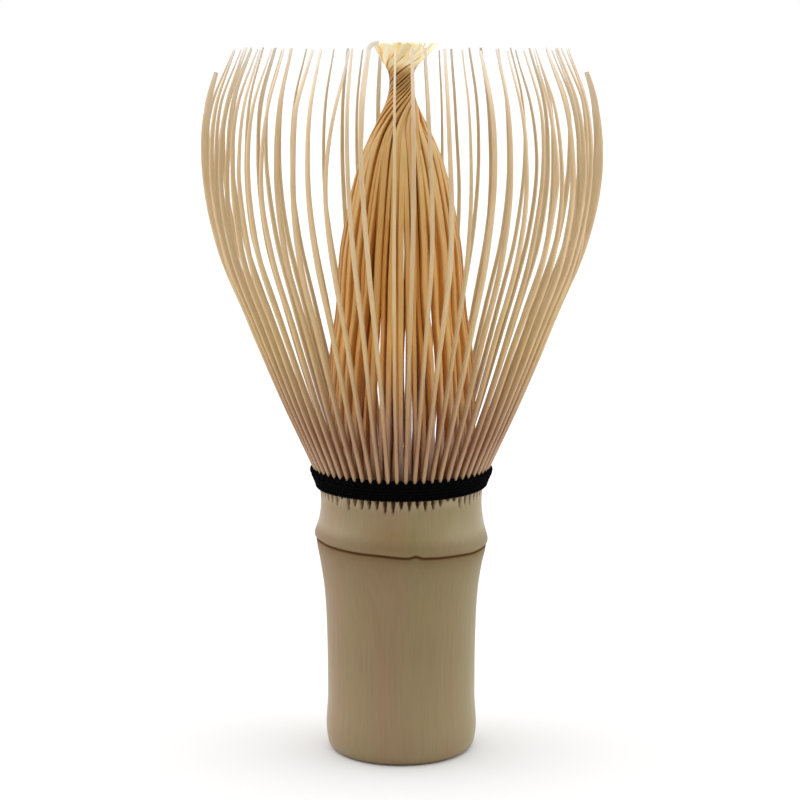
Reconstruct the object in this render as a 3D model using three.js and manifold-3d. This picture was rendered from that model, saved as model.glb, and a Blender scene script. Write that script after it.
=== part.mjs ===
// Bamboo tea whisk, in millimetres, +Z up, with its origin at the centre of the handle's foot.
//
// The whisk is carved from one length of bamboo. Above the bamboo's node the wall is split into sixteen
// staves, and each stave is split again into an outer comb of four tines and an inner comb of four.
// The outer tines flare into a bowl shape. The inner tines lean together, twist round one another into
// a neck and open into a small tuft. A black thread is wound round the roots of the outer tines.
import * as THREE from "three";
import { mergeVertices } from "three/addons/utils/BufferGeometryUtils.js";
import Module from "manifold-3d";

const wasm = await Module();
wasm.setup();

// Counts
const STAVES = 16;
const TINES_PER_STAVE = 4;
const TINES = STAVES * TINES_PER_STAVE;
const STAVE_ANGLE = (2 * Math.PI) / STAVES;
const TINE_ANGLE = (2 * Math.PI) / TINES;
const FIRST_STAVE_ANGLE = -Math.PI / 2; // stave 01 faces the front, -Y

// Handle
const HANDLE_RADIUS = 11.65;
const FOOT_ROUNDING = 1.2;
const NODE_HEIGHT = 33.4; // the sheath scar that rings the bamboo's node
const NODE_RADIUS = 13.6;
const NECK_RADIUS = 12.6;
const SHOULDER_HEIGHT = 42.3; // where the solid wall ends, behind the thread
const SHOULDER_RADIUS = 12.75;
const BORE_RADIUS = 7.8;
const SHOULDER_BORE_RADIUS = 9.3;
const HANDLE_SIDES = 32;

// Septum, the natural wall across the bamboo at its node
const SEPTUM_RADIUS = 8.3;
const SEPTUM_HEIGHT = 32.9;
const SEPTUM_THICKNESS = 1.6;
const SEPTUM_SIDES = 16;

// Tines. A width runs round the whisk, and a thickness runs through the bamboo's wall.
const TIP_HEIGHT = 110;
const TIP_RADIUS = 26.1;
const BELLY_RADIUS = 30.3;
const BELLY_HEIGHT = 92.5;
const OUTER_WIDTH = { root: 1.0, tip: 0.4 };
const OUTER_THICKNESS = { root: 0.9, tip: 0.16 };
const OUTER_STEPS = 9;
const TUFT_HEIGHT = 110.5;
const TUFT_RADIUS = 5.6;
const WAIST_RADIUS = 1.9; // the narrowest part of the twisted neck
const WAIST_HEIGHT = 105.3;
const INNER_WIDTH = { root: 0.6, tip: 0.26 };
const INNER_THICKNESS = { root: 0.55, tip: 0.24 };
const INNER_STEPS = 9;
const INNER_LAYER_DEPTH = 0.42; // how far every other inner tine sinks behind its neighbours in the neck
const CLAIRAUT = 1.4; // radius times the sine of the lean, the same all along a taut inner tine

// Root blocks, where the tines of one comb are still joined. A margin is how much thicker they are.
const ROOT_GAP = 0.3; // between one block and the next
const OUTER_ROOT = { bottom: 42.6, top: 43.5, margin: 0.08 };
const INNER_ROOT = { bottom: 43.1, top: 48.5, margin: 0.1 };

// Thread
const THREAD_RADIUS = 0.28;
const THREAD_TURNS = 4;
const THREAD_BOTTOM = 42.6;
const THREAD_TOP = 45.08;
const THREAD_CLEARANCE = 0.3; // room for the tines to swing
const THREAD_STEPS_PER_TURN = 24;
const THREAD_SIDES = 6;
const INSIDE_ROUND_RADIUS = 11.6;
const INSIDE_ROUND_HEIGHT = 44.2;
const INSIDE_ROUND_STEPS = 24;
const KNOT_RADIUS = 0.62;
const KNOT_STEPS = 24;
const KNOT_ANGLE = Math.PI / 2; // the knot is at the back, +Y

const bamboo = { color: 0xc2a878, roughness: 0.55, metalness: 0 };
const OUTER_BAMBOO = new THREE.MeshStandardMaterial(bamboo);
const CULM_SKIN = new THREE.MeshStandardMaterial({ ...bamboo, color: 0xa08c66, roughness: 0.42 });
const INNER_BAMBOO = new THREE.MeshStandardMaterial({ ...bamboo, color: 0xcfa566 });
const PITH = new THREE.MeshStandardMaterial({ ...bamboo, color: 0xd8c79c, roughness: 0.8 });
const THREAD = new THREE.MeshStandardMaterial({ color: 0x0b0a0a, roughness: 0.7, metalness: 0 });

const point = (radius, height) => new THREE.Vector2(radius, height);

// The outer faces of the two rings of tines, each as a curve of radius and height.
const outerProfile = new THREE.SplineCurve([
  point(SHOULDER_RADIUS, OUTER_ROOT.bottom + 0.2),
  point(13.9, 45.4),
  point(18.8, 56),
  point(23.9, 68.5),
  point(28.4, 80.3),
  point(BELLY_RADIUS, BELLY_HEIGHT),
  point(29.4, 101.5),
  point(TIP_RADIUS, TIP_HEIGHT),
]);
const innerProfile = new THREE.SplineCurve([
  point(10.7, 46),
  point(11.5, 57),
  point(11, 68),
  point(9.2, 80.5),
  point(6.5, 91.5),
  point(3.1, 100),
  point(WAIST_RADIUS, WAIST_HEIGHT),
  point(3.2, 108.8),
  point(TUFT_RADIUS, TUFT_HEIGHT),
]);

const staveAngle = (stave) => FIRST_STAVE_ANGLE + stave * STAVE_ANGLE;
const tineOffset = (tine) => (tine - (TINES_PER_STAVE - 1) / 2) * TINE_ANGLE;
const taper = (size, t, power) => THREE.MathUtils.lerp(size.root, size.tip, t ** power);

// A position given by its radius, its height, an angle round the whisk and a sideways shift.
function polar(radius, height, angle, sideways = 0) {
  const x = radius * Math.cos(angle) - sideways * Math.sin(angle);
  const y = radius * Math.sin(angle) + sideways * Math.cos(angle);
  return new THREE.Vector3(x, y, height);
}

// A point that lies a given depth behind a profile's face, at t from 0 at the root to 1 at the tip.
function behindFace(profile, t, depth) {
  const face = profile.getPointAt(t);
  const tangent = profile.getTangentAt(t);
  return point(face.x - tangent.y * depth, face.y + tangent.x * depth);
}

// A box bent into place. The function at() gives each corner from its place through the wall and its
// place across it, both from -0.5 to 0.5, and its place along the piece, from 0 to 1.
function bentBox(acrossSteps, alongSteps, at) {
  const geometry = new THREE.BoxGeometry(1, 1, 1, 1, acrossSteps, alongSteps);
  const corners = geometry.getAttribute("position");
  for (let i = 0; i < corners.count; i++) {
    const place = at(corners.getX(i), corners.getY(i), corners.getZ(i) + 0.5);
    corners.setXYZ(i, place.x, place.y, place.z);
  }
  return geometry;
}

function solidOf(geometry) {
  const bare = geometry.clone();
  bare.deleteAttribute("normal");
  bare.deleteAttribute("uv");
  const merged = mergeVertices(bare, 1e-4);
  const vertProperties = merged.getAttribute("position").array;
  const triVerts = new Uint32Array(merged.index.array);
  return new wasm.Manifold(new wasm.Mesh({ numProp: 3, vertProperties, triVerts }));
}

function joined(geometries) {
  const mesh = geometries.map(solidOf).reduce((all, one) => all.add(one)).getMesh();
  const geometry = new THREE.BufferGeometry();
  geometry.setAttribute("position", new THREE.BufferAttribute(mesh.vertProperties, 3));
  geometry.setIndex(new THREE.BufferAttribute(mesh.triVerts, 1));
  geometry.computeVertexNormals();
  return geometry;
}

// The block that joins one comb's tines at the root, as wide as its stave.
function rootBlock(root, profile, thickness, angle) {
  return bentBox(2, 1, (through, across, along) => {
    const face = profile.getPointAt(0).x;
    const radius = face - thickness / 2 + through * (thickness + 2 * root.margin);
    const span = STAVE_ANGLE - ROOT_GAP / radius;
    const height = THREE.MathUtils.lerp(root.bottom, root.top, along);
    return polar(radius, height, angle + across * span);
  });
}

function outerTine(angle) {
  return bentBox(1, OUTER_STEPS, (through, across, along) => {
    const depth = (0.5 - through) * taper(OUTER_THICKNESS, along, 0.6);
    const place = behindFace(outerProfile, along, depth);
    return polar(place.x, place.y, angle, across * taper(OUTER_WIDTH, along, 1));
  });
}

function outerComb(stave) {
  const parts = [rootBlock(OUTER_ROOT, outerProfile, OUTER_THICKNESS.root, staveAngle(stave))];
  for (let tine = 0; tine < TINES_PER_STAVE; tine++) {
    parts.push(outerTine(staveAngle(stave) + tineOffset(tine)));
  }
  return joined(parts);
}

// How far an inner tine has turned round the whisk at each step along its profile. A tine under
// tension takes the shortest way over the surface, so it turns fastest where the radius is least.
const TWIST_SAMPLES = 240;
const twist = [0];
for (let i = 1; i <= TWIST_SAMPLES; i++) {
  const place = innerProfile.getPointAt((i - 0.5) / TWIST_SAMPLES);
  const lean = place.y < INNER_ROOT.top ? 0 : Math.asin(CLAIRAUT / place.x);
  const step = innerProfile.getLength() / TWIST_SAMPLES;
  twist.push(twist[i - 1] + (Math.tan(lean) * step) / place.x);
}
const twistAt = (t) => twist[Math.round(t * TWIST_SAMPLES)];

// Where the ring grows narrow, every other tine sinks into a second layer and leaves the rest more room.
function innerTine(angle, layer) {
  return bentBox(1, INNER_STEPS, (through, across, along) => {
    const t = 1 - (1 - along) ** 1.5; // steps lie closer together towards the neck
    const face = innerProfile.getPointAt(t).x;
    const squeeze = 1 - THREE.MathUtils.smoothstep(face, 3, 6);
    const sunk = layer * squeeze * INNER_LAYER_DEPTH;
    const depth = (0.5 - through) * taper(INNER_THICKNESS, t, 0.7) + sunk;
    const place = behindFace(innerProfile, t, depth);
    const pitch = (2 * Math.PI * (face - depth)) / (TINES * (1 - squeeze ** 2 / 2));
    const width = Math.min(taper(INNER_WIDTH, t, 1), 0.72 * pitch);
    return polar(place.x, place.y, angle + twistAt(t), across * width);
  });
}

function innerComb(stave) {
  const parts = [rootBlock(INNER_ROOT, innerProfile, INNER_THICKNESS.root, staveAngle(stave))];
  for (let tine = 0; tine < TINES_PER_STAVE; tine++) {
    parts.push(innerTine(staveAngle(stave) + tineOffset(tine), tine % 2));
  }
  return joined(parts);
}

// A body turned about the whisk's axis. LatheGeometry turns about +Y, so it is stood up on +Z.
const lathed = (profile, sides) => new THREE.LatheGeometry(profile, sides).rotateX(Math.PI / 2);

function culmHandle() {
  const footCentre = point(HANDLE_RADIUS - FOOT_ROUNDING, FOOT_ROUNDING);
  const foot = [0, 1, 2, 3].map((i) => {
    const turn = ((i - 3) * Math.PI) / 6;
    const radius = footCentre.x + FOOT_ROUNDING * Math.cos(turn);
    return point(radius, footCentre.y + FOOT_ROUNDING * Math.sin(turn));
  });
  const grip = new THREE.SplineCurve([
    foot[3],
    point(HANDLE_RADIUS + 0.1, 18.5),
    point(12.45, 28),
    point(13.3, NODE_HEIGHT - 0.3),
  ]);
  const collar = new THREE.SplineCurve([
    point(NODE_RADIUS, NODE_HEIGHT + 0.5),
    point(13, 36.4),
    point(NECK_RADIUS, 39.4),
    point(SHOULDER_RADIUS, SHOULDER_HEIGHT),
  ]);
  const bore = [
    point(SHOULDER_BORE_RADIUS, SHOULDER_HEIGHT),
    point(SEPTUM_RADIUS + 0.3, 35),
    point(SEPTUM_RADIUS + 0.3, 31.4),
    point(BORE_RADIUS, 30.4),
    point(BORE_RADIUS, 0.5),
    point(BORE_RADIUS + 0.5, 0),
  ];
  const scar = point(13, NODE_HEIGHT);
  const outline = [...foot.slice(0, 3), ...grip.getPoints(5), scar, ...collar.getPoints(5), ...bore, foot[0]];
  return lathed(outline, HANDLE_SIDES);
}

function nodeSeptum() {
  const bottom = SEPTUM_HEIGHT - SEPTUM_THICKNESS / 2;
  const top = SEPTUM_HEIGHT + SEPTUM_THICKNESS / 2;
  const dish = 0.5; // the wall sags a little towards the foot
  const outline = [
    point(0, bottom - dish),
    point(SEPTUM_RADIUS * 0.6, bottom - dish * 0.6),
    point(SEPTUM_RADIUS, bottom),
    point(SEPTUM_RADIUS, top),
    point(SEPTUM_RADIUS * 0.6, top - dish * 0.6),
    point(0, top - dish),
  ];
  return lathed(outline, SEPTUM_SIDES);
}

// The round section of the thread, swept along a curve.
function threadAlong(path, steps) {
  const section = new THREE.Shape();
  section.absarc(0, 0, THREAD_RADIUS, 0, 2 * Math.PI);
  const options = { steps, extrudePath: path, curveSegments: THREAD_SIDES / 2 };
  return new THREE.ExtrudeGeometry(section, options);
}

// The radius at which the thread lies on the outer tines, at a height within the winding.
function windingRadius(height) {
  const share = (height - outerProfile.points[0].y) / (outerProfile.points[1].y - outerProfile.points[0].y);
  const face = THREE.MathUtils.lerp(outerProfile.points[0].x, outerProfile.points[1].x, share);
  return face + THREAD_CLEARANCE + THREAD_RADIUS;
}

class Winding extends THREE.Curve {
  getPoint(t) {
    const height = THREE.MathUtils.lerp(THREAD_BOTTOM, THREAD_TOP, t);
    return polar(windingRadius(height), height, KNOT_ANGLE + t * THREAD_TURNS * 2 * Math.PI);
  }
}

const threadWinding = () => threadAlong(new Winding(), THREAD_TURNS * THREAD_STEPS_PER_TURN);

function threadInsideRound() {
  const ring = new THREE.TorusGeometry(INSIDE_ROUND_RADIUS, THREAD_RADIUS, THREAD_SIDES, INSIDE_ROUND_STEPS);
  return ring.translate(0, 0, INSIDE_ROUND_HEIGHT);
}

function threadKnot() {
  const height = (THREAD_BOTTOM + THREAD_TOP) / 2;
  const centre = polar(windingRadius(THREAD_TOP) + 1.35, height, KNOT_ANGLE);
  const knot = new THREE.TorusKnotGeometry(KNOT_RADIUS, THREAD_RADIUS * 0.8, KNOT_STEPS, THREAD_SIDES);
  knot.rotateX(Math.PI / 2).translate(centre.x, centre.y, centre.z);
  const tails = [-1, 1].map((side) => {
    const ends = [
      new THREE.Vector3(side * 0.5, 0, -0.2),
      new THREE.Vector3(side * 1.3, 0.1, -0.7),
      new THREE.Vector3(side * 1.7, 0.1, -2.2),
    ];
    return threadAlong(new THREE.CatmullRomCurve3(ends.map((end) => end.add(centre))), 6);
  });
  return joined([knot, ...tails]);
}

const whisk = new THREE.Group();

function add(name, geometry, material) {
  const mesh = new THREE.Mesh(geometry, material);
  mesh.name = name;
  whisk.add(mesh);
}

add("culm_handle", culmHandle(), CULM_SKIN);
add("node_septum", nodeSeptum(), PITH);
for (let stave = 0; stave < STAVES; stave++) {
  const number = String(stave + 1).padStart(2, "0");
  add("outer_comb_" + number, outerComb(stave), OUTER_BAMBOO);
  add("inner_comb_" + number, innerComb(stave), INNER_BAMBOO);
}
add("thread_winding", threadWinding(), THREAD);
add("thread_inside_round", threadInsideRound(), THREAD);
add("thread_knot", threadKnot(), THREAD);

export default whisk;
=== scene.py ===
"""The looks of a bamboo tea whisk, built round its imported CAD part.

Shapes are in millimetres, and become metres where a piece's mesh is made. Materials and the studio are in
metres throughout.
"""
import math

import bpy
import numpy as np
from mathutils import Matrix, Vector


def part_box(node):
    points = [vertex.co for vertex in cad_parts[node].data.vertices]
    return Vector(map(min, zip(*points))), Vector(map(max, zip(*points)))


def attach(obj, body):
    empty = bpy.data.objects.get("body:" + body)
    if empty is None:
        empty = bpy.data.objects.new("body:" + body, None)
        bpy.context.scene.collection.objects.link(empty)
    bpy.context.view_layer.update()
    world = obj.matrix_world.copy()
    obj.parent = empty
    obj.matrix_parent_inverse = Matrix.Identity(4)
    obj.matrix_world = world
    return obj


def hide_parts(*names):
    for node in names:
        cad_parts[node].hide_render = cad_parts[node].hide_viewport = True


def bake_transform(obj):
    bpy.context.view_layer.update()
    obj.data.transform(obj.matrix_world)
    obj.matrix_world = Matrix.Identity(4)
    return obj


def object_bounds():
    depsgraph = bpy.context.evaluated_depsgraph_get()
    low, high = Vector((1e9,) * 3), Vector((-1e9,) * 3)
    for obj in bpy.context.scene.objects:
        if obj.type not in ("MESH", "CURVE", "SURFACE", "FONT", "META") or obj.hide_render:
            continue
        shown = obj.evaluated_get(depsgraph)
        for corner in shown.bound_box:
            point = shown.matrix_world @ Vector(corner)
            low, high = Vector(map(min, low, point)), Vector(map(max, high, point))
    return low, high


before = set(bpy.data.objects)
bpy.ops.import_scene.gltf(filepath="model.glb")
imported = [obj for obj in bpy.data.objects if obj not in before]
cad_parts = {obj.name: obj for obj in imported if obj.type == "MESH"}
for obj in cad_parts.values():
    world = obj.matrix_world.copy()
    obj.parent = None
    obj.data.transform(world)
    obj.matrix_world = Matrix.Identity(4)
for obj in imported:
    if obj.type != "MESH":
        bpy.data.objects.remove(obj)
cad_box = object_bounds()

MM = 0.001
UP = np.array([0.0, 0.0, 1.0])
rng = np.random.default_rng(20)


def box_mm(node):
    """A CAD node's lowest and highest corners."""
    low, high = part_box(node)
    return np.array(low) / MM, np.array(high) / MM


# ---------------------------------------------------------------- sizes taken from the CAD parts

STAVES = sum(name.startswith("outer_comb_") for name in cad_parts)
TINES_PER_STAVE = 4
TINES = STAVES * TINES_PER_STAVE
PITCH = 2 * math.pi / TINES
FIRST_ANGLE = -math.pi / 2  # stave 01 faces the front

SHOULDER = box_mm("culm_handle")[1][2]
BAND_BOTTOM = box_mm("thread_winding")[0][2]
BAND_TOP = box_mm("thread_winding")[1][2]
TIP = box_mm("outer_comb_01")[1][2]
TUFT = box_mm("inner_comb_01")[1][2]
BELLY = cad_box[1][0] / MM


# ---------------------------------------------------------------- shapes

def distance_along(points):
    steps = np.linalg.norm(np.diff(points, axis=0), axis=1)
    return np.r_[0, np.cumsum(steps)]


def smooth_path(points, stations):
    """Evenly spaced stations along a smooth curve through the points."""
    p = np.array(points, float)
    reach = distance_along(p)
    slope = np.gradient(p, reach, axis=0)
    at = np.linspace(0, reach[-1], stations)
    i = np.clip(np.searchsorted(reach, at, side="right") - 1, 0, len(reach) - 2)
    gap = (reach[i + 1] - reach[i])[:, None]
    s = (at - reach[i])[:, None] / gap
    start = (1 + 2 * s) * (1 - s) ** 2 * p[i] + s * (1 - s) ** 2 * gap * slope[i]
    end = s**2 * (3 - 2 * s) * p[i + 1] + s**2 * (s - 1) * gap * slope[i + 1]
    return start + end


def smoothstep(x, low, high):
    """0 below low, 1 above high, and a smooth rise between them."""
    s = np.clip((x - low) / (high - low), 0, 1)
    return s * s * (3 - 2 * s)


def rise_and_fall(x, rise, fall):
    """0 before the rise, 1 between the rise and the fall, and 0 after the fall. Both are (start, end)."""
    return smoothstep(x, *rise) * (1 - smoothstep(x, *fall))


def by_height(table, height):
    """The sizes in a table of (height, size), worked out at other heights."""
    heights, sizes = np.array(table).T
    return np.interp(height, heights, sizes)


def unit(v):
    return v / np.linalg.norm(v, axis=-1, keepdims=True)


def inward_from(profile):
    """The inward direction, square to a profile of (radius, height), at each of its points."""
    slope = unit(np.gradient(profile, axis=0))
    return np.stack([-slope[:, 1], slope[:, 0]], axis=1)


def polar(radius, height, angle):
    return np.stack(np.broadcast_arrays(radius * np.cos(angle), radius * np.sin(angle), height), axis=-1)


def round_the_whisk(angle):
    """The direction of increasing angle."""
    return np.stack([-np.sin(angle), np.cos(angle), np.zeros_like(angle)], axis=-1)


SWAY_WAVES = (0.6, 1.1, 1.9)  # how many waves there are from the root to the tip
SWAY_STARTS = (0, 6.3)  # the angles that a wave may start at
SWAY_GROWTH = 1.2


def wander(reach, size):
    """A slow random sway that grows from nothing at the root."""
    sway = np.zeros_like(reach)
    for waves in SWAY_WAVES:
        swing = rng.normal(0, size / waves**0.8)
        sway += swing * np.sin(2 * math.pi * waves * reach + rng.uniform(*SWAY_STARTS))
    return sway * reach**SWAY_GROWTH


class Build:
    """Vertices and faces gathered for one piece, with the values that its material reads."""

    def __init__(self):
        self.points = []
        self.faces = []
        self.uv = []
        self.values = {}
        self.count = 0

    def add(self, points, faces, uv=None, **values):
        self.points.append(points)
        self.faces.extend((np.array(face) + self.count).tolist() for face in faces)
        self.uv.append(np.zeros((len(points), 2)) if uv is None else uv)
        for name, value in values.items():
            self.values.setdefault(name, []).append(np.broadcast_to(value, len(points)))
        self.count += len(points)

    def piece(self, name, material, smooth=True):
        mesh = bpy.data.meshes.new(name)
        mesh.from_pydata((np.concatenate(self.points) * MM).tolist(), [], self.faces)
        corner = np.zeros(len(mesh.loops), int)
        mesh.loops.foreach_get("vertex_index", corner)
        layer = mesh.uv_layers.new(name="UVMap")
        layer.data.foreach_set("uv", np.concatenate(self.uv)[corner].ravel())
        for key, parts in self.values.items():
            attribute = mesh.attributes.new(key, "FLOAT", "POINT")
            attribute.data.foreach_set("value", np.concatenate(parts).astype(np.float32))
        mesh.polygons.foreach_set("use_smooth", np.full(len(mesh.polygons), smooth))
        mesh.materials.append(material)
        mesh.update()
        obj = bpy.data.objects.new(name, mesh)
        bpy.context.scene.collection.objects.link(obj)
        return obj


def tube_faces(stations, sides, closed=False):
    """The faces of a skin over rings of points. Its ends have caps, or meet when it is closed."""
    faces = []
    last = stations if closed else stations - 1
    for i in range(last):
        a = i * sides
        b = (i + 1) % stations * sides
        for j in range(sides):
            k = (j + 1) % sides
            faces.append((a + j, a + k, b + k, b + j))
    if not closed:
        faces.append(tuple(range(sides - 1, -1, -1)))
        faces.append(tuple((stations - 1) * sides + j for j in range(sides)))
    return faces


# A strip's section has eight corners: four on the inner face, then four on the outer one.
FACES_IN = np.array([1.0, 1, 1, 1, 0, 0, 0, 0])
IN_THE_GAP = np.array([1, 0, 0, 1, 0.25, 0, 0, 0.25])  # how much of a gap's shadow falls on each corner
OUTER_CORNER = 0.62  # where the cut across a corner starts, as a share of half the section's side
INNER_CORNER = 0.74
PLY_CORNER = 0.42


def strip_section(corner):
    """The corners as (across, inward) shares of half the width and half the thickness."""
    return np.array([(1, corner), (corner, 1), (-corner, 1), (-1, corner),
                     (-1, -corner), (-corner, -1), (corner, -1), (1, -corner)])


def sweep(build, centre, across, width, thickness, corner, closed=False, gap=0.0, sunk=0.0, **values):
    """A strip of bamboo or a thread along a line: a section with rounded corners, width by thickness.

    Gap says how closely the neighbours stand at each station, and marks the strip's sides with it as a
    painted shadow. Sunk is a painted shade over the whole strip, for how deep it lies behind its neighbours.
    """
    if closed:
        tangent = np.roll(centre, -1, axis=0) - np.roll(centre, 1, axis=0)
    else:
        tangent = np.gradient(centre, axis=0)
    tangent = unit(tangent)
    across = unit(across - tangent * np.sum(across * tangent, axis=1, keepdims=True))
    through = np.cross(tangent, across)
    section = strip_section(corner)
    stations = len(centre)
    sides = len(section)
    half_width = np.broadcast_to(np.asarray(width) / 2, stations)[:, None, None]
    half_thickness = np.broadcast_to(np.asarray(thickness) / 2, stations)[:, None, None]
    rings = (centre[:, None, :]
             + across[:, None, :] * half_width * section[None, :, :1]
             + through[:, None, :] * half_thickness * section[None, :, 1:])
    round_about = np.linspace(0, 1, sides)
    uv = np.stack(np.broadcast_arrays(round_about[None, :], distance_along(centre)[:, None]), axis=-1)
    spread = {key: np.repeat(np.broadcast_to(value, stations), sides) for key, value in values.items()}
    beside = np.outer(np.broadcast_to(gap, stations), IN_THE_GAP)
    behind = np.broadcast_to(sunk, stations)[:, None]
    spread["gap"] = np.maximum(beside, behind).ravel()
    spread["inside"] = np.tile(FACES_IN, stations)
    build.add(rings.reshape(-1, 3), tube_faces(stations, sides, closed), uv.reshape(-1, 2), **spread)


# ---------------------------------------------------------------- materials

def new_material(name):
    material = bpy.data.materials.new(name)
    material.use_nodes = True
    nodes = material.node_tree.nodes
    shader = nodes["Principled BSDF"]
    return material, nodes, material.node_tree.links, shader


def node(nodes, kind, **settings):
    made = nodes.new(kind)
    for key, value in settings.items():
        setattr(made, key, value)
    return made


def attribute(nodes, name):
    return node(nodes, "ShaderNodeAttribute", attribute_name=name).outputs["Fac"]


def ramp(nodes, links, value, stops):
    """A colour ramp: stops are (place, colour)."""
    made = node(nodes, "ShaderNodeValToRGB")
    made.color_ramp.elements.remove(made.color_ramp.elements[1])
    for i, (place, colour) in enumerate(stops):
        element = made.color_ramp.elements[0] if i == 0 else made.color_ramp.elements.new(place)
        element.position = place
        element.color = (*colour, 1)
    links.new(value, made.inputs["Fac"])
    return made.outputs["Color"]


def blend_colours(nodes, links, factor, a, b, mode="MIX"):
    made = node(nodes, "ShaderNodeMix", data_type="RGBA", blend_type=mode)
    for value, socket in ((factor, made.inputs[0]), (a, made.inputs[6]), (b, made.inputs[7])):
        if isinstance(value, bpy.types.NodeSocket):
            links.new(value, socket)
        elif isinstance(value, tuple):
            socket.default_value = (*value, 1)
        else:
            socket.default_value = value
    return made.outputs[2]


def fibres(nodes, links, source, stretch, scale, detail=3):
    """Noise drawn out along the bamboo's fibres."""
    mapping = node(nodes, "ShaderNodeMapping")
    mapping.inputs["Scale"].default_value = stretch
    links.new(source, mapping.inputs["Vector"])
    noise = node(nodes, "ShaderNodeTexNoise")
    noise.inputs["Scale"].default_value = scale
    noise.inputs["Detail"].default_value = detail
    links.new(mapping.outputs["Vector"], noise.inputs["Vector"])
    return noise.outputs["Fac"]


def bump(nodes, links, shader, height, strength, distance):
    """Small relief. Its distance is in metres."""
    made = node(nodes, "ShaderNodeBump")
    made.inputs["Strength"].default_value = strength
    made.inputs["Distance"].default_value = distance
    links.new(height, made.inputs["Height"])
    links.new(made.outputs["Normal"], shader.inputs["Normal"])


WHITE = (1, 1, 1)
ALL_WAYS = (1, 1, 1)  # a texture's stretch
# the scar's brown, also used for the painted shade round the node
SCAR_AND_SHADE_BROWN = (0.100, 0.048, 0.015)
# the painted shade in the splits between the tines
SPLIT_SHADE_BROWN = (0.115, 0.047, 0.014)
# the brown of the painted shade in the twisted neck
NECK_SHADE_BROWN = (0.17, 0.066, 0.010)
SHAVED_BAMBOO = (0.42, 0.30, 0.18)


def skin_material():
    """The culm's outer skin: khaki, satin, with fine upright fibres, a brown scar with painted shade round
    it, and painted shade in the splits.
    """
    material, nodes, links, shader = new_material("culm_skin")
    place = node(nodes, "ShaderNodeTexCoord").outputs["Object"]
    broad = fibres(nodes, links, place, stretch=(1, 1, 0.12), scale=110)
    fine = fibres(nodes, links, place, stretch=(1, 1, 0.035), scale=2600, detail=4)
    colour = ramp(nodes, links, broad, [(0.36, (0.262, 0.163, 0.068)), (0.50, (0.255, 0.177, 0.070)),
                                        (0.64, (0.240, 0.185, 0.067))])
    streaks = ramp(nodes, links, fine, [(0.30, (0.80, 0.78, 0.74)), (0.60, WHITE)])
    colour = blend_colours(nodes, links, 0.45, colour, streaks, "MULTIPLY")
    colour = blend_colours(nodes, links, attribute(nodes, "scar"), colour, SCAR_AND_SHADE_BROWN)
    colour = blend_colours(nodes, links, attribute(nodes, "bare"), colour, SHAVED_BAMBOO)
    colour = blend_colours(nodes, links, attribute(nodes, "split"), colour, SPLIT_SHADE_BROWN)
    links.new(colour, shader.inputs["Base Color"])
    for socket, plain, scarred in (("Roughness", 0.36, 0.9), ("Specular IOR Level", 0.7, 0.05)):
        change = node(nodes, "ShaderNodeMapRange")
        change.inputs["To Min"].default_value = plain
        change.inputs["To Max"].default_value = scarred
        links.new(attribute(nodes, "scar"), change.inputs["Value"])
        links.new(change.outputs["Result"], shader.inputs[socket])
    bump(nodes, links, shader, fine, strength=0.25, distance=0.00008)
    return material


def tine_material(name, stops, dark, shadow, inside, roughness):
    """Shaved bamboo, whose colour runs through the stops from a tine's root to its tip.

    The darkest tines are multiplied by dark, and so, as painted shade, are the inner tines at the bundle's
    left and right; the sides in a narrow gap and the sunk tines by shadow, a painted shadow; and the inner
    faces by inside, a painted shade on the faces toward the whisk's middle. A stretch with painted shade in
    the neck is brown.
    """
    material, nodes, links, shader = new_material(name)
    colour = ramp(nodes, links, attribute(nodes, "reach"), stops)
    tone = ramp(nodes, links, attribute(nodes, "tone"), [(0, dark), (0.55, WHITE), (1, (1.0, 0.99, 0.97))])
    colour = blend_colours(nodes, links, 0.9, colour, tone, "MULTIPLY")
    place = node(nodes, "ShaderNodeUVMap", uv_map="UVMap").outputs["UV"]
    grain = fibres(nodes, links, place, stretch=(6, 0.22, 1), scale=1.0)
    streaks = ramp(nodes, links, grain, [(0.32, (0.80, 0.74, 0.66)), (0.62, WHITE)])
    colour = blend_colours(nodes, links, 0.55, colour, streaks, "MULTIPLY")
    colour = blend_colours(nodes, links, attribute(nodes, "gap"), colour, shadow, "MULTIPLY")
    # painted shade on the faces toward the whisk's middle
    colour = blend_colours(nodes, links, attribute(nodes, "inside"), colour, inside, "MULTIPLY")
    colour = blend_colours(nodes, links, attribute(nodes, "stain"), colour, NECK_SHADE_BROWN)
    links.new(colour, shader.inputs["Base Color"])
    shader.inputs["Roughness"].default_value = roughness
    shader.inputs["Specular IOR Level"].default_value = 0.3
    bump(nodes, links, shader, grain, strength=0.3, distance=0.00004)
    return material


def pith_material():
    """Bare bamboo inside the culm, pale and rough."""
    material, nodes, links, shader = new_material("pith")
    place = node(nodes, "ShaderNodeTexCoord").outputs["Object"]
    cloud = fibres(nodes, links, place, ALL_WAYS, scale=420, detail=5)
    colour = ramp(nodes, links, cloud, [(0.3, (0.42, 0.31, 0.17)), (0.7, (0.66, 0.54, 0.35))])
    links.new(colour, shader.inputs["Base Color"])
    shader.inputs["Roughness"].default_value = 0.85
    bump(nodes, links, shader, cloud, strength=0.5, distance=0.0002)
    return material


def thread_material():
    """Black twisted thread with a little fuzz."""
    material, nodes, links, shader = new_material("thread")
    place = node(nodes, "ShaderNodeTexCoord").outputs["Object"]
    fuzz = fibres(nodes, links, place, ALL_WAYS, scale=5200, detail=2)
    colour = ramp(nodes, links, fuzz, [(0.3, (0.0008, 0.0008, 0.0010)), (0.8, (0.003, 0.003, 0.0035))])
    links.new(colour, shader.inputs["Base Color"])
    shader.inputs["Roughness"].default_value = 1.0
    shader.inputs["Specular IOR Level"].default_value = 0.03
    bump(nodes, links, shader, fuzz, strength=0.4, distance=0.00003)
    return material


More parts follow.
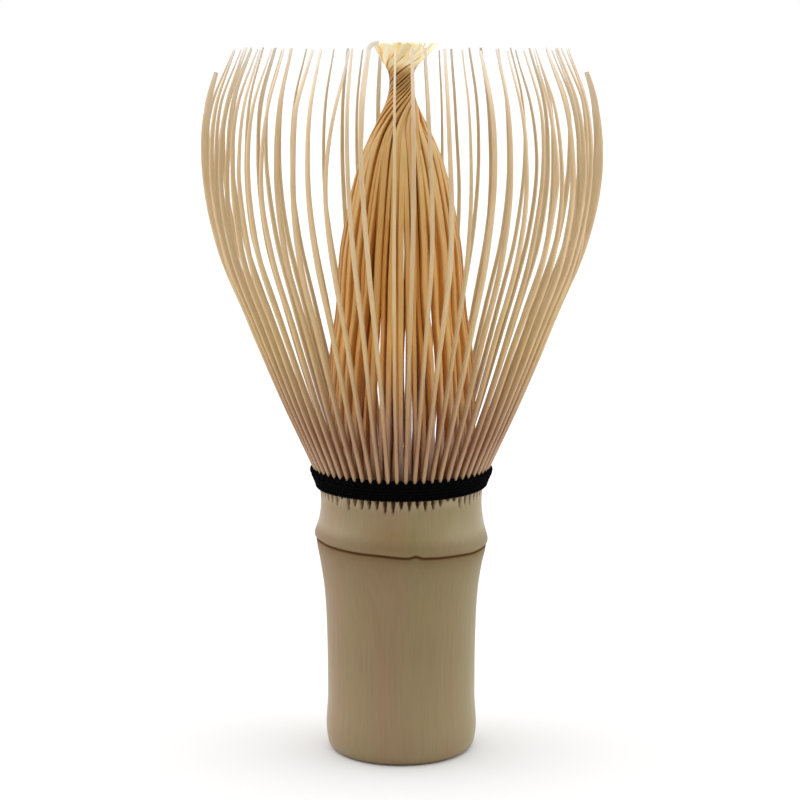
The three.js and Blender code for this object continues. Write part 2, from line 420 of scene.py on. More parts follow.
SKIN = skin_material()
PITH = pith_material()
THREAD = thread_material()
OUTER_BAMBOO = tine_material(
    "outer_tines",
    stops=[
        (0.00, (0.43, 0.285, 0.16)), (0.06, (0.42, 0.265, 0.15)), (0.14, (0.40, 0.230, 0.13)),
        (0.24, (0.50, 0.325, 0.17)), (0.36, (0.61, 0.43, 0.21)), (0.55, (0.67, 0.50, 0.29)),
        # the pale tips are partly the bamboo's own colour and partly painted light shining through the thin
        # ends
        (0.80, (0.66, 0.49, 0.29)), (0.93, (0.80, 0.64, 0.46)), (1.00, (0.82, 0.74, 0.64)),
    ],
    dark=(0.86, 0.82, 0.76), shadow=(0.56, 0.27, 0.10), inside=(0.84, 0.90, 0.93), roughness=0.5)
INNER_BAMBOO = tine_material(
    "inner_tines",
    stops=[
        (0.00, (0.48, 0.32, 0.25)), (0.13, (0.52, 0.34, 0.25)), (0.22, (0.62, 0.39, 0.20)),
        (0.33, (0.67, 0.415, 0.155)), (0.60, (0.585, 0.365, 0.13)), (0.84, (0.63, 0.42, 0.18)),
        # the cream tuft is partly the bamboo's own colour and partly painted light shining through its thin
        # strands
        (0.91, (0.66, 0.43, 0.17)), (0.942, (0.68, 0.44, 0.16)), (0.955, (1.0, 0.88, 0.55)),
        (1.00, (1.0, 0.96, 0.76)),
    ],
    # the inner tines' gap shadow lifts red above 1: painted shade with a painted warm glow of light between
    # the strands
    dark=(0.80, 0.66, 0.40), shadow=(1.22, 0.84, 0.30), inside=(1.0, 0.95, 0.85), roughness=0.45)


# ---------------------------------------------------------------- the handle

SLEEVE_OUTLINE = [  # radius and height of the outer face below the scar, from the foot up
    (10.45, 0.0), (11.05, 0.16), (11.49, 0.60), (11.65, 1.2), (11.66, 8.8), (11.75, 18.7), (11.97, 24.0),
    (12.2, 26.6), (12.55, 29.0), (12.9, 31.0), (13.22, 32.5), (13.33, 33.3),
]
SCAR_OUTLINE = [(13.30, 33.50), (13.10, 33.66), (13.14, 33.76), (13.42, 33.82)]
COLLAR_OUTLINE = [
    (13.58, 34.02), (13.60, 34.35), (13.45, 34.95), (13.16, 35.9), (12.86, 37.2), (12.66, 38.7), (12.6, 40.0),
    (12.66, 41.2), (12.80, 42.3),
]
BORE_OUTLINE = [(9.6, 42.3), (9.0, 39.0), (8.6, 35.0), (8.6, 31.4), (7.8, 30.4), (7.8, 0.5), (8.3, 0.0)]
SLEEVE_STATIONS = 46
COLLAR_STATIONS = 40
OUT_OF_ROUND = 0.04
OUT_OF_ROUND_START = 0.4

SPLIT_COLUMNS = (-0.42, -0.30, -0.18, -0.07, 0.07, 0.18, 0.30, 0.42)  # about each split, in pitches
SPLIT_DEPTH = 1.0
SPLIT_WIDTH = 0.72
SPLIT_EDGE = 0.11  # the width of a split's sloping wall
SPLIT_LENGTHS = (1.15, 2.35)
SPLIT_TAPER = 0.6  # a split's width grows from its bottom as the height to this power
SPLIT_SHADE = 1.3  # how much wider its painted shade is than its full depth
SHORT_SPLITS = 0.08  # the share of the splits that are short
SHORT_SPLIT_LENGTH = 0.3  # as a share of a split's length

NODE_HEIGHT = 33.7
NODE_SPREAD = 3.2  # how far above and below the node its unevenness reaches
NODE_LEAN = 0.6  # how far the node's ring rises on the left and falls on the right
NODE_RIPPLES = ((0.05, 3, 1), (0.035, 7, 2), (0.02, 13, 0))  # height, waves round the ring, start
PEAK_HEIGHT = 0.32  # one small peak in the ring
PEAK_WIDTH = 0.05  # as an angle
PEAK_ANGLE = FIRST_ANGLE + 0.165

SCAR_HEIGHT = NODE_HEIGHT - 0.05
SCAR_WIDTH = 0.19
SHADE_BELOW_RING = ((0.30, 1.5), (0.18, 9))  # painted shade under the node's ring: strength, and reach down from the scar
# the sleeve darkens from low on the handle up to the ring
SLEEVE_BROWN = 0.12
SLEEVE_BROWN_RISE = (6.0, 19.0)
# painted shade on the collar just above the scar, which also hides the lip's highlight
COLLAR_SHADE = 0.32
COLLAR_SHADE_RISE = (33.7, 33.9)
COLLAR_SHADE_FALL = (34.8, 36.8)
# painted shadow on the skin just below the thread and the tines
SKIN_NECK_SHADE = 0.10
SKIN_NECK_SHADE_RISE = (37.0, 41.0)
SHOULDER_PALE = 0.40
SHOULDER_PALE_RISE = (SHOULDER - 2.0, SHOULDER - 0.6)
FOOT_PALE = 0.04
FOOT_PALE_FALL = (1.0, 7.0)


def split_grooves(radius, height, offsets):
    """How far into a split each point lies. The splits run down from the shoulder, past the thread."""
    off_split = np.tile(np.abs(offsets), TINES)
    length = rng.uniform(*SPLIT_LENGTHS, TINES)
    length = length * np.where(rng.uniform(0, 1, TINES) < SHORT_SPLITS, SHORT_SPLIT_LENGTH, 1)
    bottom = SHOULDER - np.repeat(length, len(offsets))
    open_share = np.clip((height - bottom) / (SHOULDER - bottom), 0, 1) ** SPLIT_TAPER
    half_angle = SPLIT_WIDTH / 2 / radius * open_share
    return np.clip((half_angle - off_split) * radius / SPLIT_EDGE, 0, 1) * np.sqrt(open_share)


def node_rise(columns):
    """How far the node's ring stands above its height in each column. It leans and has one small peak."""
    off_peak = (columns - PEAK_ANGLE + math.pi) % (2 * math.pi) - math.pi
    peak = PEAK_HEIGHT * np.exp(-((off_peak / PEAK_WIDTH) ** 2))
    ripple = sum(size * np.sin(waves * columns + start) for size, waves, start in NODE_RIPPLES)
    return peak + ripple - NODE_LEAN * np.cos(columns)


def scar_brown(height):
    """How brown the skin is: most on the scar, and less down the handle and up the collar, where shade is
    painted below the ring and on the collar; a painted shadow lies under the thread.
    """
    below = SCAR_HEIGHT - height
    brown = np.exp(-((below / SCAR_WIDTH) ** 2))
    for strength, reach in SHADE_BELOW_RING:
        brown += strength * np.exp(-below / reach) * (below > 0)
    brown += SLEEVE_BROWN * smoothstep(height, *SLEEVE_BROWN_RISE) * (below > 0)
    brown += COLLAR_SHADE * rise_and_fall(height, COLLAR_SHADE_RISE, COLLAR_SHADE_FALL)
    brown += SKIN_NECK_SHADE * smoothstep(height, *SKIN_NECK_SHADE_RISE)
    return np.clip(brown, 0, 1)


def skin_pale(height):
    """How much bare bamboo shows through the skin at the shoulder, and how much paler the skin is at the
    foot.
    """
    shoulder = SHOULDER_PALE * smoothstep(height, *SHOULDER_PALE_RISE)
    foot = FOOT_PALE * (1 - smoothstep(height, *FOOT_PALE_FALL))
    return shoulder + foot


def culm_handle():
    """The uncut tube, with the node's ring, the splits between the tines and the bore."""
    sleeve = smooth_path(SLEEVE_OUTLINE, SLEEVE_STATIONS)
    collar = smooth_path(COLLAR_OUTLINE, COLLAR_STATIONS)
    outer = np.concatenate([sleeve, SCAR_OUTLINE, collar])
    rows = np.concatenate([outer, BORE_OUTLINE])
    is_outer = (np.arange(len(rows)) < len(outer))[:, None]
    offsets = np.array(SPLIT_COLUMNS) * PITCH
    columns = ((np.arange(TINES) * PITCH)[:, None] + offsets[None, :]).ravel() + FIRST_ANGLE
    radius = np.repeat(rows[:, :1], len(columns), axis=1)
    height = np.repeat(rows[:, 1:], len(columns), axis=1)

    groove = split_grooves(radius, height, offsets) * is_outer
    near_node = np.exp(-(((height - NODE_HEIGHT) / NODE_SPREAD) ** 2)) * is_outer
    radius = radius - SPLIT_DEPTH * groove
    radius = radius + is_outer * OUT_OF_ROUND * np.sin(2 * columns + OUT_OF_ROUND_START)
    height = height + near_node * node_rise(columns)

    scar = np.repeat(scar_brown(rows[:, 1:]) * is_outer, len(columns), axis=1)
    bare = np.where(is_outer, skin_pale(height), 1.0)
    split = np.clip(groove * SPLIT_SHADE, 0, 1)
    build = Build()
    skin = tube_faces(len(rows), len(columns), closed=True)
    build.add(polar(radius, height, columns[None, :]).reshape(-1, 3), skin,
              scar=scar.ravel(), split=split.ravel(), bare=bare.ravel())
    handle = build.piece("handle", SKIN)
    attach(handle, "handle")
    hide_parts("culm_handle")


SEPTUM_RINGS = 22
SEPTUM_COLUMNS = 96
SEPTUM_DISH = 0.5
SEPTUM_UNEVEN = 0.12
SEPTUM_MIDDLE = 0.02  # the radius of the flat middle, as a share of the whole


def septum():
    """The wall across the bamboo at its node, dished and a little uneven."""
    low, high = box_mm("node_septum")
    rings = np.linspace(SEPTUM_MIDDLE, 1, SEPTUM_RINGS)[:, None]
    columns = np.linspace(0, 2 * math.pi, SEPTUM_COLUMNS, endpoint=False)
    radius = rings * high[0]
    uneven = SEPTUM_UNEVEN * np.sin(5 * radius) * np.sin(3 * columns) * (1 - rings**2)
    relief = uneven - SEPTUM_DISH * (1 - rings**2)
    top = polar(radius, high[2] + relief, columns[None, :])
    bottom = polar(radius, low[2] + SEPTUM_DISH + relief, columns[None, :])
    shell = np.concatenate([top, bottom[::-1]])
    build = Build()
    build.add(shell.reshape(-1, 3), tube_faces(len(shell), SEPTUM_COLUMNS))
    piece = build.piece("septum", PITH)
    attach(piece, "handle")
    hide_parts("node_septum")


# ---------------------------------------------------------------- the outer tines

OUTER_FACE = [  # radius and height of the outer tines' outer faces, from the root up
    (12.45, 41.4), (12.95, 43.2), (13.95, 45.4), (18.8, 56.0), (23.9, 68.5), (28.4, 80.3),
    (BELLY, 92.5), (29.4, 101.5), (26.1, TIP),
]
OUTER_WIDTH = [
    (41, 0.40), (44.4, 0.40), (45.2, 0.50), (46.2, 0.62), (47.6, 0.63), (51, 0.57), (56, 0.54),
    (71, 0.56), (80, 0.58), (87, 0.56), (95, 0.51), (102, 0.47), (107, 0.42), (TIP, 0.34),
]
OUTER_THICKNESS = [
    (41, 0.9), (47, 0.95), (57, 0.90), (71, 0.78), (87, 0.66), (95, 0.56), (102, 0.42), (107, 0.28),
    (TIP, 0.12),
]
OUTER_STATIONS = 96
FACE_STATIONS = 400
OUTER_THICKNESS_SPREAD = (0.85, 1.12)  # from the thinnest tine to the thickest
OUTER_WIDTH_SPREAD = (-0.38, 0.34)  # the change in width at the tip, from the narrowest tine to the widest
OUTER_SWAY_IN = 0.28
OUTER_SWAY_ASIDE = 0.24
OUTER_TURN = 0.20
OUTER_TIPS_LOWER = 0.5  # the most that a tip lies below the highest
OUTER_ROOTS_PART = (46, 58)  # the heights between which the gaps open and their painted shadow fades
SIDE_INSET = (1.5, 0.0, 0.2, 2.4)  # how far in each of a stave's tines stands at the whisk's left and right
SIDE_INSET_RISE = (72, 96)
SIDE_WIDTH = 0.65  # how much wider the tines at the whisk's left and right are
SIDE_WIDTH_FALL = (82, 100)

# Tines that stand out of line, as (stave, tine): their (height, sideways, outwards) points.
BENT_TINES = {
    (0, 0): [(42, 0, 0), (60, 0, 0), (80, -0.6, 0), (95, -1.35, 0), (102, -1.25, 0), (106, -1.1, 0),
             (110, -0.8, 0)],
    (0, 1): [(42, 0, 0), (60, 0, 0), (90, 0.5, 0), (110, 0.4, 0)],
    (0, 2): [(42, 0, 0), (60, 0, 0), (90, 0.25, 0), (110, 0.2, 0)],
    (8, 3): [(42, 0, 0), (70, -0.3, 0), (100, -0.5, 0), (110, -0.4, 0)],
    (4, 1): [(42, 0, 0), (90, 0, 0), (100, 0, 0.25), (107, 0, 0.8), (110, 0, 0.8)],
    (12, 2): [(42, 0, 0), (90, 0, 0), (100, 0, 0.25), (107, 0, 0.8), (110, 0, 0.8)],
}
BROKEN_TINES = {(4, 1): 106.8, (12, 2): 106.6}  # the heights that they end at
BROKEN_THICKER = 1.4  # how much thicker they are at the top than a whole tine
BROKEN_THICKER_RISE = (66, 92)
WIDE_TINES = {(0, 0): 1.45, (10, 3): 3.6, (8, 3): 1.5}  # how many times wider the tip is than the others
WIDE_RISE = (94, 104)
HOOKED_TINES = {(0, 0): 1.45}  # how far the tip curls over sideways
HOOK_RISE = 0.65  # how high the curl rises, as a share of that
HOOK_STATIONS = 6
HOOK_START = 0.2  # how far along the curl its first station lies
HOOK_THICKNESS = 0.3


def tine_angle(stave, tine):
    return FIRST_ANGLE + (stave * TINES_PER_STAVE + tine - (TINES_PER_STAVE - 1) / 2) * PITCH


def lengthen(values, stations):
    """The last of the values, repeated for more stations."""
    return np.concatenate([values, np.repeat(values[-1:], stations, axis=0)])


def outer_section(height, reach, angle, wide):
    """An outer tine's width and thickness at each height."""
    side = math.cos(angle) ** 4
    thickness = by_height(OUTER_THICKNESS, height) * rng.uniform(*OUTER_THICKNESS_SPREAD)
    width = by_height(OUTER_WIDTH, height) * (1 + reach * rng.uniform(*OUTER_WIDTH_SPREAD))
    width = width * (1 + SIDE_WIDTH * side * (1 - smoothstep(height, *SIDE_WIDTH_FALL)))
    width = width * (1 + (wide - 1) * smoothstep(height, *WIDE_RISE))
    return width, thickness


def outer_line(profile, reach, thickness, inset):
    """The radius and height of an outer tine's middle, from the profile of its outer face."""
    line = profile + inward_from(profile) * thickness[:, None] / 2
    line[:, 0] -= np.abs(wander(reach, OUTER_SWAY_IN))
    line[:, 0] -= inset * smoothstep(profile[:, 1], *SIDE_INSET_RISE)
    line[:, 1] -= reach**6 * rng.uniform(0, OUTER_TIPS_LOWER)
    return line


def outer_tine(build, angle, inset, bend, top, hook, wide):
    """One outer tine. Bend is (height, sideways, outwards) points for a tine that stands out of line."""
    profile = smooth_path(OUTER_FACE, OUTER_STATIONS)
    height = profile[:, 1]
    reach = np.clip((height - SHOULDER) / (TIP - SHOULDER), 0, 1)
    width, thickness = outer_section(height, reach, angle, wide)
    line = outer_line(profile, reach, thickness, inset * math.cos(angle) ** 4)
    sideways = wander(reach, OUTER_SWAY_ASIDE)
    turn = wander(reach, OUTER_TURN)[:, None]
    tone = rng.uniform(0, 1)
    if bend is not None:
        heights, aside, outwards = np.array(bend).T
        sideways = np.interp(height, heights, aside)
        line[:, 0] += np.interp(height, heights, outwards)
    if top < TIP:
        thickness = thickness * (1 + BROKEN_THICKER * smoothstep(height, *BROKEN_THICKER_RISE))
    facing_out = polar(np.ones_like(reach), 0, angle)
    along_ring = round_the_whisk(np.full_like(reach, angle))
    centre = polar(line[:, 0], line[:, 1], angle) + along_ring * sideways[:, None]
    across = along_ring * np.cos(turn) + facing_out * np.sin(turn)
    # painted shadow on the sides of the tines near their roots
    gap = 1 - smoothstep(height, *OUTER_ROOTS_PART)
    if hook:
        turned = np.linspace(HOOK_START, 1, HOOK_STATIONS)[:, None] * math.pi / 2
        curl = (1 - np.cos(turned)) * along_ring[:1] + HOOK_RISE * np.sin(turned) * UP
        centre = np.concatenate([centre, centre[-1] + hook * curl])
        across = lengthen(across, HOOK_STATIONS)
        across[-HOOK_STATIONS:] -= np.sin(turned) * (along_ring[:1] + UP)
        width = lengthen(width, HOOK_STATIONS)
        thickness = lengthen(np.maximum(thickness, HOOK_THICKNESS), HOOK_STATIONS)
        gap = lengthen(gap, HOOK_STATIONS)
        reach = lengthen(reach, HOOK_STATIONS)
    kept = centre[:, 2] <= top
    sweep(build, centre[kept], across[kept], width[kept], thickness[kept], OUTER_CORNER, gap=gap[kept],
          reach=reach[kept], tone=tone, stain=0)


def outer_combs():
    for stave in range(STAVES):
        number = f"{stave + 1:02d}"
        build = Build()
        for tine in range(TINES_PER_STAVE):
            place = (stave, tine)
            outer_tine(build, tine_angle(stave, tine), SIDE_INSET[tine], BENT_TINES.get(place),
                       top=BROKEN_TINES.get(place, TUFT), hook=HOOKED_TINES.get(place, 0),
                       wide=WIDE_TINES.get(place, 1))
        piece = build.piece("outer_tines_" + number, OUTER_BAMBOO, smooth=False)
        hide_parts("outer_comb_" + number)
        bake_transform(piece)


# ---------------------------------------------------------------- the inner tines

INNER_FACE = [  # radius and height of the twisted bundle's outside, from the root up
    (10.9, 41.6), (11.1, 45.0), (11.6, 52.0), (11.6, 58.0), (11.1, 64.5), (10.3, 70.0), (9.95, 75.0),
    (9.6, 79.0), (8.9, 83.0), (8.05, 87.0), (7.2, 90.3), (6.3, 93.2), (4.95, 96.4), (3.5, 99.3),
    (2.45, 101.6), (1.95, 103.4), (1.86, 105.1), (2.05, 106.3), (2.7, 107.5), (3.65, 108.7),
    (4.85, TUFT - 0.2),
]
INNER_WIDTH = [
    (41, 0.84), (46, 0.84), (51, 0.72), (56, 0.68), (64, 0.76), (75, 0.86), (86, 0.82), (93, 0.68),
    (98, 0.50), (101, 0.40), (103.4, 0.29), (105.6, 0.29), (106.6, 0.46), (108, 0.78), (111, 0.94),
]
INNER_THICKNESS = [
    (41, 1.0), (50, 1.3), (62, 1.4), (72, 1.3), (80, 1.1), (88, 0.85), (94, 0.64), (100, 0.42),
    (106, 0.28), (111, 0.14),
]
INNER_STATIONS = 150
INNER_WIDTH_SPREAD = (-0.28, 0.24)  # the change in width, from the narrowest tine to the widest
INNER_SWAY_IN = 0.18
INNER_SWAY_ASIDE = 0.22
INNER_SWAY_RADIUS = 4  # below this radius the sideways sway dies away
INNER_TIPS_LOWER = 0.2  # the most that a tip lies below the highest
INNER_TIPS_RISE = (0.93, 1)  # the shares of a tine's height between which it is lowered
AXIS_CLEARANCE = 0.15
INNER_ROOTS_PART = (46, 62)  # the heights between which the tines spread to different depths
INNER_DEPTHS_MEET = (76, 96)  # the heights between which they come together again
INNER_BOW = 0.9  # the most that a tine's lower half bows sideways
INNER_BOW_START = 44
INNER_BOW_LENGTH = 30
SUNK = [(0.9, 1.7), (0.0, 0.25), (0.4, 0.9), (0.1, 0.5)]  # how far in each tine runs, for every four tines
SUNK_SHADE = 0.85  # the darkest painted shade that depth puts on a tine
SUNK_SHADE_GROWTH = 1.4  # how fast it darkens with each millimetre of depth
SIDE_PAINTED_SHADE = 0.6  # painted shade: how much darker the tines at the bundle's left and right are

NECK_LEAN = math.radians(50)
NECK_TWIST_RISE = (95.5, 104.0)
NECK_CROWDING = (2.4, 6.0)  # the bundle's radii between which its tines crowd together
TWIST_SPREAD = (0.95, 1.05)
LAYERS = 3
LAYER_DEPTH = 0.30
TUFT_STRAIGHTENS = 0.45  # how much of the twist's lean is lost at the tuft's top
TUFT_STRAIGHTENS_RISE = (107, TUFT)
TUFT_FLARE_RISE = (106.5, TUFT)
# the heights between which the painted shadow in the gaps fades at the tuft
TUFT_GAPS_FALL = (106.2, 108)
FLARE_TO_THE_RIGHT = 0.14
LAYER_FLARE = 0.34  # how much less each deeper layer of the tuft flares

# painted shade in the twisted waist, deepest on the buried layers
WAIST_SHADE_RISE = (102.0, 104.4)
WAIST_SHADE_FALL = (105.8, 107.0)
WAIST_SHADE_OUTSIDE = 0.52
WAIST_SHADE_INSIDE = 0.95
NECK_SHADE_RISE = (96, 101)
NECK_SHADE_INSIDE = 0.3


def twist_along(profile):
    """How far a tine has turned round the whisk at each station. Only the neck is twisted."""
    middle = (profile[1:] + profile[:-1]) / 2
    step = np.linalg.norm(np.diff(profile, axis=0), axis=1)
    lean = NECK_LEAN * smoothstep(middle[:, 1], *NECK_TWIST_RISE)
    lean *= 1 - TUFT_STRAIGHTENS * smoothstep(middle[:, 1], *TUFT_STRAIGHTENS_RISE)
    return np.r_[0, np.cumsum(np.tan(lean) * step / middle[:, 0])]


def neck_shade(height, layer):
    """How much painted shade darkens a tine in the neck: most at the waist, and more in the deeper layers."""
    waist = rise_and_fall(height, WAIST_SHADE_RISE, WAIST_SHADE_FALL)
    if layer == 0:
        return waist * WAIST_SHADE_OUTSIDE
    below = rise_and_fall(height, NECK_SHADE_RISE, WAIST_SHADE_RISE)
    return np.maximum(waist * WAIST_SHADE_INSIDE, below * NECK_SHADE_INSIDE)


def inner_tine(build, angle, layer, sunk):
    """One inner tine. Layer is its depth in the neck's twist, and sunk how far in it runs below the neck."""
    profile = smooth_path(INNER_FACE, INNER_STATIONS)
    height = profile[:, 1]
    reach = np.clip((height - SHOULDER) / (TUFT - SHOULDER), 0, 1)
    turned = twist_along(profile) * rng.uniform(*TWIST_SPREAD)
    crowd = 1 - smoothstep(profile[:, 0], *NECK_CROWDING)
    apart = rise_and_fall(height, INNER_ROOTS_PART, INNER_DEPTHS_MEET)
    width = by_height(INNER_WIDTH, height) * (1 + (1 - crowd) * rng.uniform(*INNER_WIDTH_SPREAD))
    thickness = by_height(INNER_THICKNESS, height)
    depth = thickness / 2 + layer * LAYER_DEPTH * crowd
    depth += apart * (sunk + np.abs(wander(reach, INNER_SWAY_IN)))
    line = profile + inward_from(profile) * depth[:, None]
    line[:, 0] = np.maximum(line[:, 0], AXIS_CLEARANCE)
    line[:, 1] -= smoothstep(reach, *INNER_TIPS_RISE) * rng.uniform(0, INNER_TIPS_LOWER)
    along_bow = np.clip((height - INNER_BOW_START) / INNER_BOW_LENGTH, 0, 1)
    bow = rng.uniform(-INNER_BOW, INNER_BOW) * np.sin(math.pi * along_bow)
    aside = bow + wander(reach, INNER_SWAY_ASIDE)
    angles = angle + turned + aside / np.maximum(profile[:, 0], INNER_SWAY_RADIUS)
    flare = smoothstep(height, *TUFT_FLARE_RISE)
    line[:, 0] *= (1 + FLARE_TO_THE_RIGHT * flare * np.cos(angles)) * (1 - LAYER_FLARE * layer * flare)
    centre = polar(line[:, 0], line[:, 1], angles)
    gap = 1 - smoothstep(height, *TUFT_GAPS_FALL)
    shade = apart * SUNK_SHADE * (1 - math.exp(-SUNK_SHADE_GROWTH * sunk))
    # random tone, with painted shade on the tines at the bundle's left and right
    tone = rng.uniform(0, 1) * (1 - SIDE_PAINTED_SHADE * math.cos(angle) ** 2)
    sweep(build, centre, round_the_whisk(angles), width, thickness, INNER_CORNER, gap=gap, sunk=shade,
          reach=reach, tone=tone, stain=neck_shade(height, layer))


def inner_combs():
    for stave in range(STAVES):
        number = f"{stave + 1:02d}"
        build = Build()
        for tine in range(TINES_PER_STAVE):
            place = stave * TINES_PER_STAVE + tine
            sunk = rng.uniform(*SUNK[place % len(SUNK)])
            inner_tine(build, tine_angle(stave, tine) + PITCH / 2, place % LAYERS, sunk)
        piece = build.piece("inner_tines_" + number, INNER_BAMBOO, smooth=False)
        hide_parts("inner_comb_" + number)
        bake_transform(piece)


# ---------------------------------------------------------------- the thread

THREAD_WIDTH = 0.66
PLY_LAY = 1.15  # one full twist of the two plies, along the thread
PLY_WIDTH = 0.56  # as a share of the thread's width
PLY_OFFSET = 0.25  # a ply's distance from the thread's middle, as a share of its width

ROUNDS = 5
ROUND_STATIONS = 2300
ROUNDS_BOTTOM = BAND_BOTTOM + 0.04
ROUNDS_TOP = BAND_TOP - 0.75
ROUNDS_OFF_TINES = 0.58  # the thread's middle off the tines' faces, as a share of its width

WOVEN_STATIONS = TINES * 26
WOVEN_WIDTH = 0.9  # as a share of the thread's width
WOVEN_OFF_TINES = 0.46
WOVEN_RISE = 0.28  # how high the top round stands above the wound ones where it crosses a tine
WOVEN_GAP_RISE = 0.62  # how much higher it stands in a gap
WOVEN_DIP = 0.56  # how far in it dips in a gap
WOVEN_DIP_WIDTH = 0.17  # as a share of the pitch

INSIDE_HEIGHTS = (43.6, 44.25, 44.9)
INSIDE_DEPTH = 1.28  # behind the outer tines' outer faces
INSIDE_STATIONS = 620

KNOT_LOOP = [
    (-1.6, -0.9, 0.0), (-1.0, -0.55, 0.05), (-0.3, 0.1, 0.35), (0.45, 0.35, 0.30), (0.7, 0.1, -0.3),
    (0.0, -0.15, -0.55), (-0.65, 0.05, -0.2), (-0.45, 0.4, 0.45), (0.25, 0.2, 0.6), (0.75, -0.1, 0.1),
    (0.5, 0.1, -0.7), (0.75, 0.05, -1.4), (0.95, -0.45, -2.1), (1.15, -0.65, -2.9),
]
KNOT_TAIL = [
    (1.6, -0.9, 0.1), (0.9, -0.5, 0.15), (0.1, 0.15, -0.1), (-0.5, 0.3, -0.6), (-0.8, 0.05, -1.3),
    (-1.0, -0.4, -2.0), (-1.3, -0.6, -2.6),
]
KNOT_LOOP_STATIONS = 220
KNOT_TAIL_STATIONS = 110
KNOT_WIDTH = 0.8  # as a share of the thread's width
KNOT_CLEARANCE = 0.25  # behind the rounds


def twisted_thread(build, path, closed=False, thickness=THREAD_WIDTH):
    """Two plies twisted round each other along a path of closely spaced points."""
    if closed:
        tangent = unit(np.roll(path, -1, axis=0) - np.roll(path, 1, axis=0))
        length = np.sum(np.linalg.norm(np.roll(path, -1, axis=0) - path, axis=1))
        twists = np.arange(len(path)) / len(path) * round(length / PLY_LAY)
    else:
        tangent = unit(np.gradient(path, axis=0))
        twists = distance_along(path) / PLY_LAY
    side = unit(np.cross(tangent, UP + 1e-3))
    rise = np.cross(side, tangent)
    for ply in (0, 0.5):
        turn = (2 * math.pi * (twists + ply))[:, None]
        centre = path + (side * np.cos(turn) + rise * np.sin(turn)) * thickness * PLY_OFFSET
        width = thickness * PLY_WIDTH
        sweep(build, centre, side, width, width, PLY_CORNER, closed=closed)


def tine_face_radius(height):
    """The radius of the outer tines' outer faces at other heights."""
    face = smooth_path(OUTER_FACE, FACE_STATIONS)
    return np.interp(height, face[:, 1], face[:, 0])


def wound_rounds(build):
    """The rounds that lie on the outer tines, wound as one spiral."""
    turn = np.linspace(0, (ROUNDS - 1) * 2 * math.pi, ROUND_STATIONS)
    height = ROUNDS_BOTTOM + (ROUNDS_TOP - ROUNDS_BOTTOM) * turn / turn[-1]
    radius = tine_face_radius(height) + THREAD_WIDTH * ROUNDS_OFF_TINES
    twisted_thread(build, polar(radius, height, turn + math.pi / 2))


def woven_rounds(build):
    """Two rounds above the others, which rise and dip into the gaps between the tines."""
    angles = np.linspace(0, 2 * math.pi, WOVEN_STATIONS, endpoint=False)
    phase = ((angles - FIRST_ANGLE) / PITCH) % 1  # 0 is a gap between two tines
    off_gap = np.minimum(phase, 1 - phase)
    in_gap = np.exp(-((off_gap / WOVEN_DIP_WIDTH) ** 2))
    for share in (0.5, 1):
        height = ROUNDS_TOP + share * (WOVEN_RISE + WOVEN_GAP_RISE * in_gap)
        radius = tine_face_radius(height) + THREAD_WIDTH * WOVEN_OFF_TINES - share * WOVEN_DIP * in_gap
        path = polar(radius, height, angles)
        twisted_thread(build, path, closed=True, thickness=THREAD_WIDTH * WOVEN_WIDTH)


def thread_winding():
    build = Build()
    wound_rounds(build)
    woven_rounds(build)
    piece = build.piece("thread_rounds", THREAD)
    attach(piece, "handle")
    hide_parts("thread_winding")


def thread_inside():
    """The rounds that hold the inner tines apart from the outer ones."""
    build = Build()
    angles = np.linspace(0, 2 * math.pi, INSIDE_STATIONS, endpoint=False)
    for height in INSIDE_HEIGHTS:
        radius = tine_face_radius(height) - INSIDE_DEPTH
        twisted_thread(build, polar(radius, np.full_like(angles, height), angles), closed=True)
    piece = build.piece("thread_inside", THREAD)
    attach(piece, "handle")
    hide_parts("thread_inside_round")


def thread_knot():
    """A tight overhand knot at the back, with two short cut ends."""
    middle = (BAND_BOTTOM + BAND_TOP) / 2
    centre = np.array([0, tine_face_radius(middle) + THREAD_WIDTH + KNOT_CLEARANCE, middle])
    build = Build()
    for points, stations in ((KNOT_LOOP, KNOT_LOOP_STATIONS), (KNOT_TAIL, KNOT_TAIL_STATIONS)):
        twisted_thread(build, smooth_path(points, stations) + centre, thickness=THREAD_WIDTH * KNOT_WIDTH)
    piece = build.piece("thread_knot_ends", THREAD)
    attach(piece, "handle")
    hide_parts("thread_knot")


# ---------------------------------------------------------------- the studio, in metres

CAMERA_PLACE = (-0.0002, -0.3229, 0.110)
CAMERA_PITCH = math.radians(9.54)  # downwards
CAMERA_LENS = 94.5  # in millimetres, as is the sensor
CAMERA_SENSOR = 36
FLOOR_REACH = 40.0
FLOOR_GREY = 0.74
LIGHT = 2.29  # the brightness of the light from the sides and from above
LIGHT_IN_FRONT = 0.02  # as shares of that
LIGHT_BEHIND = 0.54
TURN_OF_LIGHT = 0.02  # how far the light is turned to the right


def camera():
    data = bpy.data.cameras.new("camera")
    data.lens = CAMERA_LENS
    data.sensor_width = CAMERA_SENSOR
    data.clip_start = 0.01
    data.clip_end = 20
    obj = bpy.data.objects.new("camera", data)
    obj.location = CAMERA_PLACE
    obj.rotation_euler = (math.pi / 2 - CAMERA_PITCH, 0, 0)
    bpy.context.scene.collection.objects.link(obj)
    bpy.context.scene.camera = obj


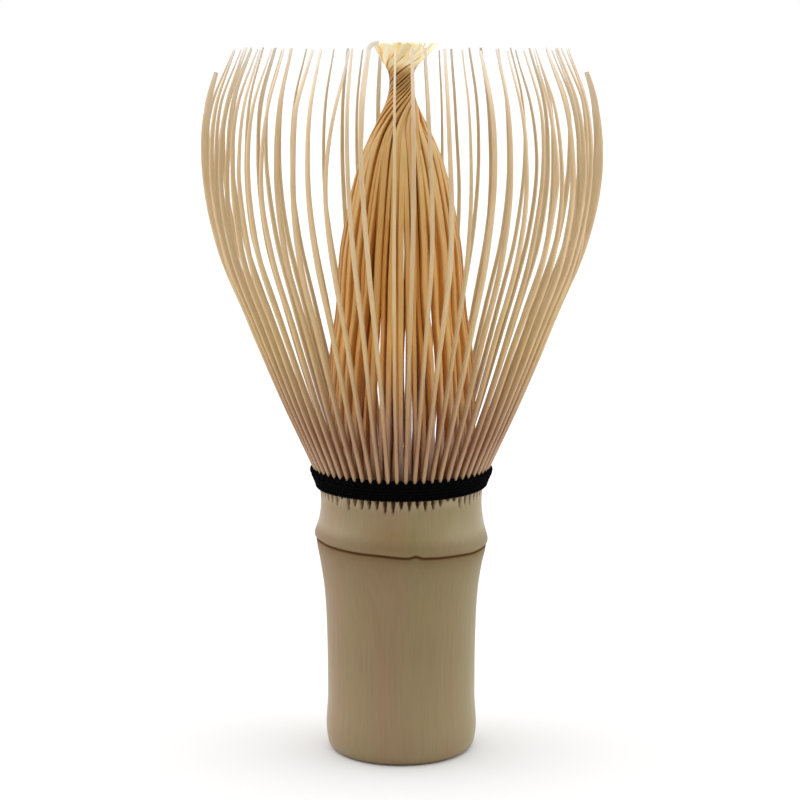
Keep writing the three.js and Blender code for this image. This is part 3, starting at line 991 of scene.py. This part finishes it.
def floor():
    """A white floor that runs out to the horizon."""
    mesh = bpy.data.meshes.new("floor")
    corners = [(-FLOOR_REACH, -FLOOR_REACH, 0), (FLOOR_REACH, -FLOOR_REACH, 0),
               (FLOOR_REACH, FLOOR_REACH, 0), (-FLOOR_REACH, FLOOR_REACH, 0)]
    mesh.from_pydata(corners, [], [(0, 1, 2, 3)])
    material, _nodes, _links, shader = new_material("floor")
    shader.inputs["Base Color"].default_value = (FLOOR_GREY, FLOOR_GREY, FLOOR_GREY, 1)
    shader.inputs["Roughness"].default_value = 1.0
    shader.inputs["Specular IOR Level"].default_value = 0.0
    mesh.materials.append(material)
    obj = bpy.data.objects.new("floor", mesh)
    bpy.context.scene.collection.objects.link(obj)


def studio():
    """Soft light from the sides and above, weaker from behind and in front, and a white background."""
    scene = bpy.context.scene
    scene.view_settings.view_transform = "Standard"
    world = bpy.data.worlds.new("studio")
    world.use_nodes = True
    nodes = world.node_tree.nodes
    links = world.node_tree.links
    light = nodes["Background"]
    behind = node(nodes, "ShaderNodeVectorMath", operation="DOT_PRODUCT")
    behind.inputs[1].default_value = (TURN_OF_LIGHT, 1, 0)
    links.new(node(nodes, "ShaderNodeTexCoord").outputs["Generated"], behind.inputs[0])
    place = node(nodes, "ShaderNodeMapRange")
    place.inputs["From Min"].default_value = -1
    links.new(behind.outputs["Value"], place.inputs["Value"])
    shares = [(0, (LIGHT_IN_FRONT,) * 3), (0.5, WHITE), (1, (LIGHT_BEHIND,) * 3)]
    links.new(ramp(nodes, links, place.outputs["Result"], shares), light.inputs["Color"])
    light.inputs["Strength"].default_value = LIGHT
    backdrop = node(nodes, "ShaderNodeBackground")
    backdrop.inputs["Color"].default_value = (1, 1, 1, 1)
    mix = node(nodes, "ShaderNodeMixShader")
    links.new(node(nodes, "ShaderNodeLightPath").outputs["Is Camera Ray"], mix.inputs[0])
    links.new(light.outputs[0], mix.inputs[1])
    links.new(backdrop.outputs[0], mix.inputs[2])
    links.new(mix.outputs[0], nodes["World Output"].inputs["Surface"])
    scene.world = world
    floor()


camera()
culm_handle()
septum()
outer_combs()
inner_combs()
thread_winding()
thread_inside()
thread_knot()
studio()
